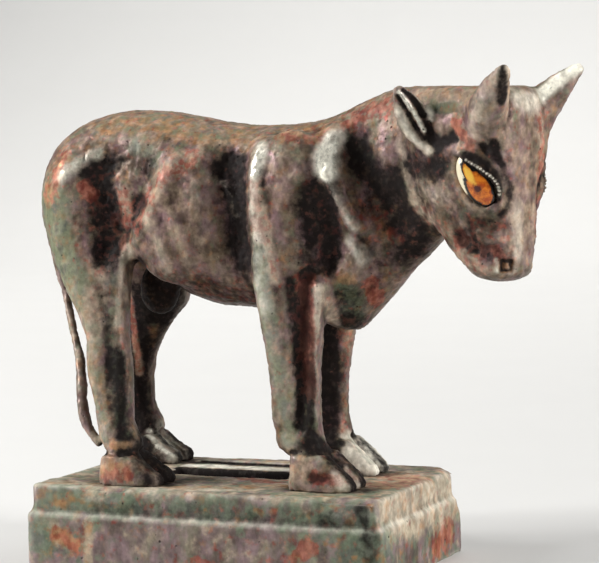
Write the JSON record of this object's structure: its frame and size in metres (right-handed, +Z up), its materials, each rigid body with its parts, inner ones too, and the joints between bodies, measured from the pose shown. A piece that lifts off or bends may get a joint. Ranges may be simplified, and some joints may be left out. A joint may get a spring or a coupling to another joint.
{
  "type": "bronze bull figurine",
  "caption": "Cast bronze bull standing on a two-tier plinth, head turned to its right, with upright horns, leaf-shaped ears, a thin hanging tail and inlaid amber-coloured eyes.",
  "frame": {"origin": "centre of the plinth's underside", "axes": "+X the way the bull's body faces, +Y its left side, +Z up"},
  "size_m": [0.174, 0.0718, 0.1475],
  "materials": {
    "bull_bronze": "weathered cast bronze, dark brown with green and red patina",
    "plinth_bronze": "weathered cast bronze, grey-green patina",
    "eye_amber": "polished inlay"
  },
  "bodies": {
    "root": {"bull": "bull_bronze", "plinth": "plinth_bronze", "right_eye_inlay": "eye_amber", "left_eye_inlay": "eye_amber"}
  },
  "joints": []
}
